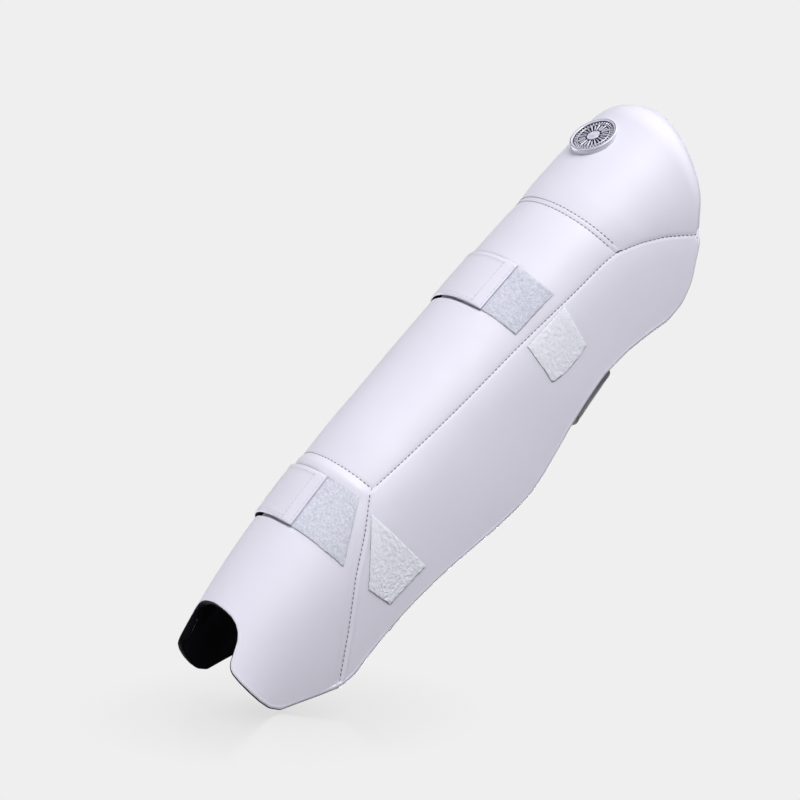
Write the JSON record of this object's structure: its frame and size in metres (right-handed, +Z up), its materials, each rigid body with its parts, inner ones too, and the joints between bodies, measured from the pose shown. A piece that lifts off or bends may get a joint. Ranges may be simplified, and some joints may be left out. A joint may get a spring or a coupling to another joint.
{
  "type": "cricket leg pad",
  "caption": "U-shaped padded leg guard with a rolled knee dome, side wings, arched instep, round badge, tape patches and two wrap-round straps.",
  "frame": {"origin": "bottom centre of the bounding box: on the plane of symmetry of the shell, at the height of the two bottom tongues' tips, near the axis of the leg", "axes": "+Z up along the shin, -Y out through the front of the pad, +X towards the outer wing, the one that carries the strap anchors and wing patches"},
  "size_m": [0.1781, 0.1713, 0.6204],
  "materials": {
    "shell_cover": "coated microfibre leather, fine grain, soft sheen, white",
    "edge_binding": "folded coated tape, white",
    "stiffener": "moulded polyethylene sheet",
    "foam": "closed-cell moulded foam, bonded to its backing",
    "inner_lining": "black brushed knit with a slight blue sheen",
    "leg_cushion": "black spacer mesh over soft foam, quilted",
    "loop_tape": "fuzzy loop side of hook-and-loop tape, pale grey blue",
    "hook_tape": "hook side of hook-and-loop tape",
    "strap_cover": "coated microfibre leather strap, folded and stitched edges",
    "strap_webbing": "woven elastic webbing, pale grey",
    "badge_rim": "polished bevelled rim",
    "badge_disc": "dark antiqued metal with a raised pattern",
    "badge_gasket": "soft gasket shaped to the dome"
  },
  "bodies": {
    "shell": {"shin_cover": "shell_cover", "shin_foam": "foam", "shin_lining": "inner_lining", "knee_cover": "shell_cover", "knee_foam": "foam", "knee_lining": "inner_lining", "instep_cover": "shell_cover", "instep_foam": "foam", "instep_lining": "inner_lining", "outer_wing_cover": "shell_cover", "outer_wing_foam": "foam", "outer_wing_lining": "inner_lining", "inner_wing_cover": "shell_cover", "inner_wing_foam": "foam", "inner_wing_lining": "inner_lining", "shin_plate": "stiffener", "knee_plate": "stiffener", "top_binding": "edge_binding", "outer_binding": "edge_binding", "inner_binding": "edge_binding", "bottom_binding": "edge_binding", "shin_cushion": "leg_cushion", "knee_cushion": "leg_cushion", "instep_cushion": "leg_cushion", "outer_shin_bolster": "leg_cushion", "inner_shin_bolster": "leg_cushion", "outer_knee_bolster": "leg_cushion", "inner_knee_bolster": "leg_cushion", "upper_front_patch": "loop_tape", "upper_wing_patch": "loop_tape", "lower_front_patch": "loop_tape", "lower_wing_patch": "loop_tape", "badge_rim": "badge_rim", "badge_disc": "badge_disc", "badge_gasket": "badge_gasket", "upper_strap_anchor": "strap_webbing", "lower_strap_anchor": "strap_webbing"},
    "upper_calf": {"upper_calf_strap": "strap_webbing", "upper_calf_cushion": "leg_cushion"},
    "upper_side": {"upper_side_strap": "strap_cover"},
    "upper_front": {"upper_front_strap": "strap_cover", "upper_strap_tip": "edge_binding", "upper_hook_tape": "hook_tape"},
    "lower_calf": {"lower_calf_strap": "strap_webbing", "lower_calf_cushion": "leg_cushion"},
    "lower_side": {"lower_side_strap": "strap_cover"},
    "lower_front": {"lower_front_strap": "strap_cover", "lower_strap_tip": "edge_binding", "lower_hook_tape": "hook_tape"}
  },
  "joints": [
    {"name": "upper_calf_swing", "type": "hinge", "parent": "shell", "child": "upper_calf", "pos_m": [0.0672, 0.041, 0.396], "axis": [0, 0, -1], "range_deg": [0, 22.5]},
    {"name": "upper_strap_open", "type": "hinge", "parent": "upper_calf", "child": "upper_side", "pos_m": [-0.0886, 0.046, 0.396], "axis": [0, 0, -1], "range_deg": [0, 110]},
    {"name": "upper_strap_peel", "type": "hinge", "parent": "upper_side", "child": "upper_front", "pos_m": [-0.05714, -0.05731, 0.396], "axis": [0, 0, -1], "range_deg": [0, 75]},
    {"name": "lower_calf_swing", "type": "hinge", "parent": "shell", "child": "lower_calf", "pos_m": [0.0606, 0.036, 0.152], "axis": [0, 0, -1], "range_deg": [0, 22.5]},
    {"name": "lower_strap_open", "type": "hinge", "parent": "lower_calf", "child": "lower_side", "pos_m": [-0.0814, 0.045, 0.152], "axis": [0, 0, -1], "range_deg": [0, 110]},
    {"name": "lower_strap_peel", "type": "hinge", "parent": "lower_side", "child": "lower_front", "pos_m": [-0.05192, -0.05773, 0.152], "axis": [0, 0, -1], "range_deg": [0, 75]}
  ],
  "couplings": [
    {"joint": "upper_calf_swing", "follows": "upper_strap_open", "ratio": 0.2},
    {"joint": "lower_calf_swing", "follows": "lower_strap_open", "ratio": 0.2}
  ]
}
